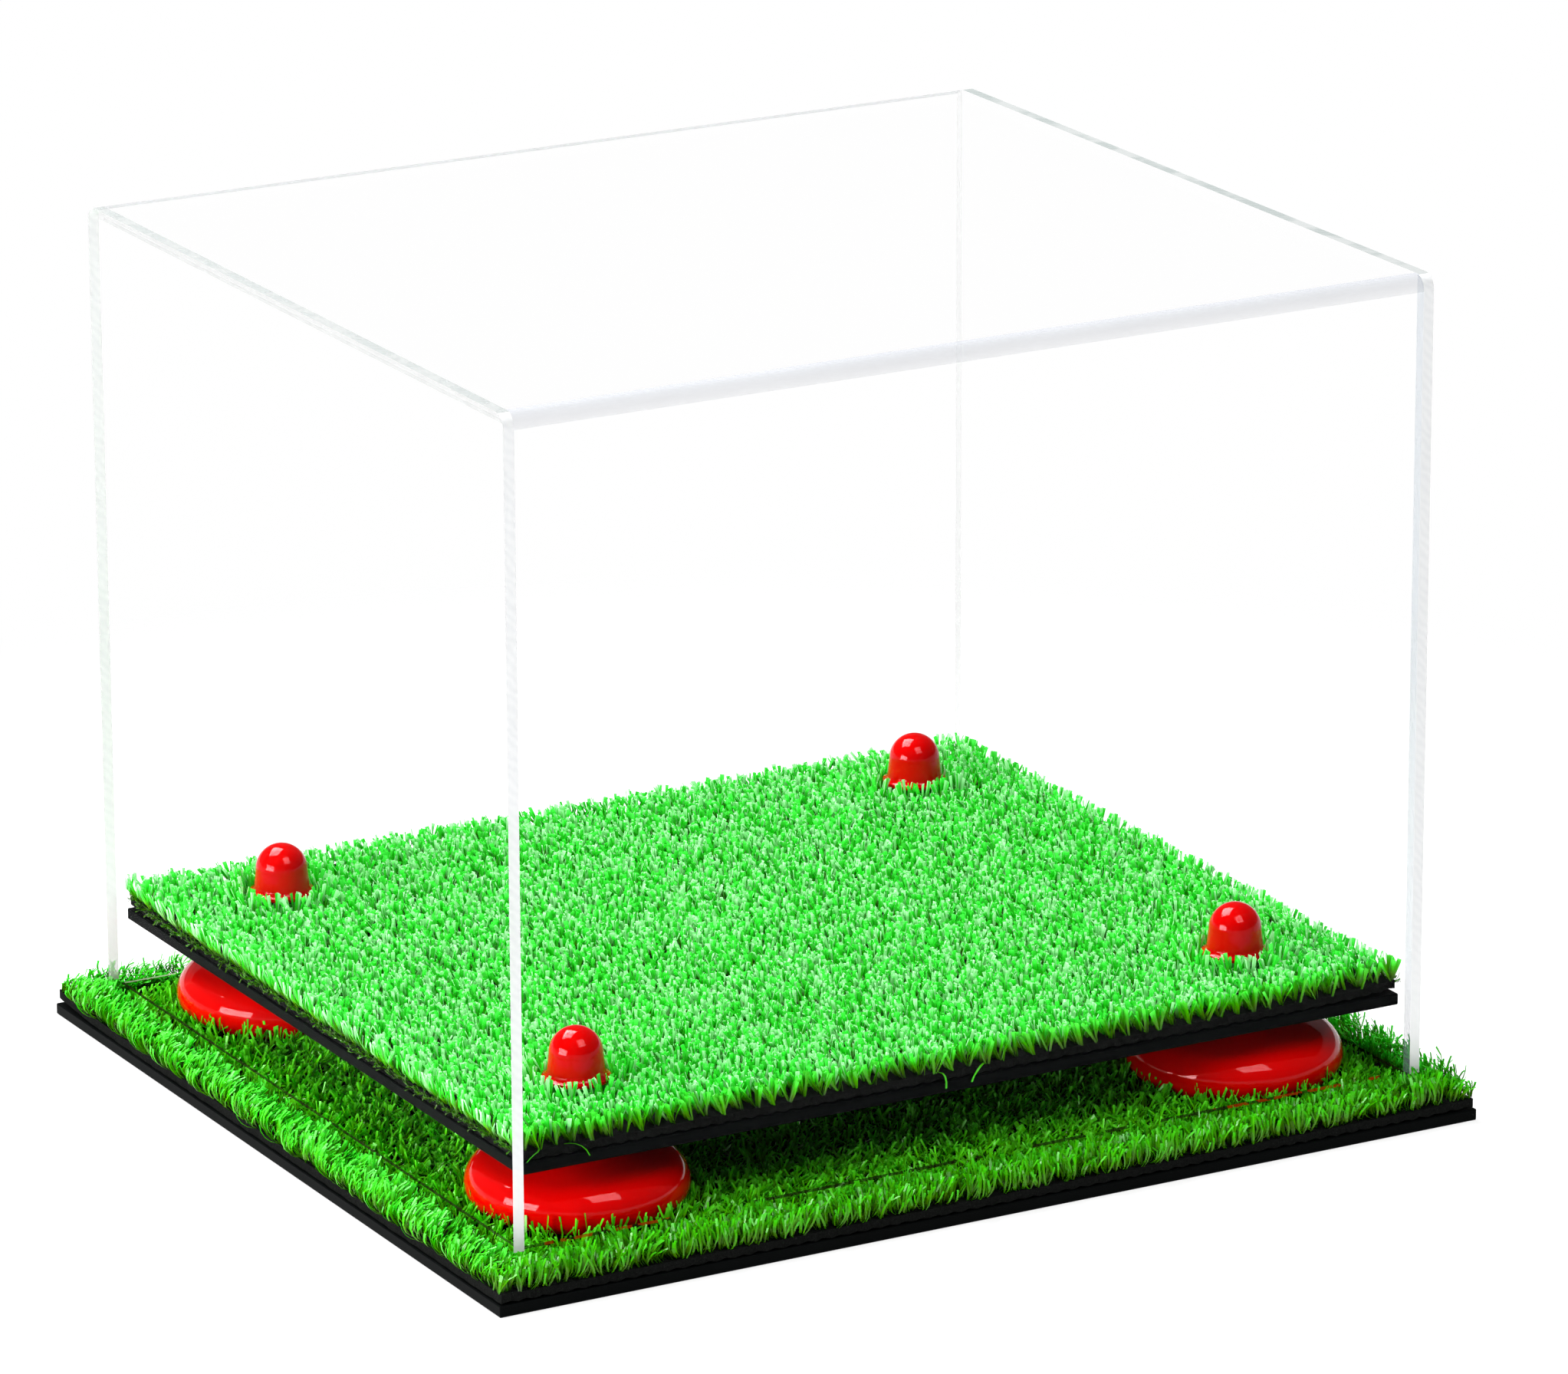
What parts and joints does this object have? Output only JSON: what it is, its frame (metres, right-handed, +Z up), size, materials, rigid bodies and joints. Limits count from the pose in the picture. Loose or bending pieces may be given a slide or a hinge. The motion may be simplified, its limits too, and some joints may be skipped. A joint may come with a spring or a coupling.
{
  "type": "football display case",
  "caption": "Clear lift-off cover over a black turf-topped base, with a raised turf stage held on pebble-shaped red feet by domed red cap nuts, for showing a ball.",
  "frame": {"origin": "centre of the base plate's underside, on the table", "axes": "+Z up, +X along the longer side to the right of someone facing the front, -Y to the front"},
  "size_m": [0.38, 0.344, 0.2998],
  "materials": {
    "black_acrylic": "polished black acrylic sheet",
    "clear_acrylic": "clear polished acrylic sheet with routed edges",
    "turf_pile": "bright green cut tape yarn",
    "turf_backing": "black latex over woven backing",
    "mounting_tape": "black foam mounting tape",
    "red_plastic": "glossy moulded red plastic",
    "screw_steel": "zinc plated steel",
    "insert_brass": "turned brass"
  },
  "bodies": {
    "base": {"base_plate": "black_acrylic", "base_turf_tape": "mounting_tape", "base_turf_backing": "turf_backing", "base_field_pile": "turf_pile", "base_border_pile": "turf_pile", "platform_plate": "black_acrylic", "platform_turf_tape": "mounting_tape", "platform_turf_backing": "turf_backing", "platform_pile": "turf_pile", "riser_foot_front_left": "red_plastic", "riser_screw_front_left": "screw_steel", "riser_foot_front_right": "red_plastic", "riser_screw_front_right": "screw_steel", "riser_foot_back_left": "red_plastic", "riser_screw_back_left": "screw_steel", "riser_foot_back_right": "red_plastic", "riser_screw_back_right": "screw_steel"},
    "cover": {"cover_bent_sheet": "clear_acrylic", "cover_left_panel": "clear_acrylic", "cover_right_panel": "clear_acrylic"},
    "insert_front_left": {"cap_insert_front_left": "insert_brass"},
    "insert_front_right": {"cap_insert_front_right": "insert_brass"},
    "insert_back_left": {"cap_insert_back_left": "insert_brass"},
    "insert_back_right": {"cap_insert_back_right": "insert_brass"},
    "cap_front_left": {"riser_cap_front_left": "red_plastic"},
    "cap_front_right": {"riser_cap_front_right": "red_plastic"},
    "cap_back_left": {"riser_cap_back_left": "red_plastic"},
    "cap_back_right": {"riser_cap_back_right": "red_plastic"}
  },
  "joints": [
    {"name": "cover_lift", "type": "slide", "parent": "base", "child": "cover", "axis": [0, 0, 1], "range_m": [0, 0.3]},
    {"name": "cap_rise_front_left", "type": "slide", "parent": "base", "child": "insert_front_left", "axis": [0, 0, 1], "range_m": [0, 0.0101]},
    {"name": "cap_turn_front_left", "type": "hinge", "parent": "insert_front_left", "child": "cap_front_left", "pos_m": [-0.129, -0.111, 0.0534], "axis": [0, 0, 1], "range_deg": [0, 3600]},
    {"name": "cap_rise_front_right", "type": "slide", "parent": "base", "child": "insert_front_right", "axis": [0, 0, 1], "range_m": [0, 0.0101]},
    {"name": "cap_turn_front_right", "type": "hinge", "parent": "insert_front_right", "child": "cap_front_right", "pos_m": [0.129, -0.111, 0.0534], "axis": [0, 0, 1], "range_deg": [0, 3600]},
    {"name": "cap_rise_back_left", "type": "slide", "parent": "base", "child": "insert_back_left", "axis": [0, 0, 1], "range_m": [0, 0.0101]},
    {"name": "cap_turn_back_left", "type": "hinge", "parent": "insert_back_left", "child": "cap_back_left", "pos_m": [-0.129, 0.111, 0.0534], "axis": [0, 0, 1], "range_deg": [0, 3600]},
    {"name": "cap_rise_back_right", "type": "slide", "parent": "base", "child": "insert_back_right", "axis": [0, 0, 1], "range_m": [0, 0.0101]},
    {"name": "cap_turn_back_right", "type": "hinge", "parent": "insert_back_right", "child": "cap_back_right", "pos_m": [0.129, 0.111, 0.0534], "axis": [0, 0, 1], "range_deg": [0, 3600]}
  ],
  "couplings": [
    {"joint": "cap_rise_front_left", "follows": "cap_turn_front_left", "m_per_rad": 0.00015915},
    {"joint": "cap_rise_front_right", "follows": "cap_turn_front_right", "m_per_rad": 0.00015915},
    {"joint": "cap_rise_back_left", "follows": "cap_turn_back_left", "m_per_rad": 0.00015915},
    {"joint": "cap_rise_back_right", "follows": "cap_turn_back_right", "m_per_rad": 0.00015915}
  ]
}
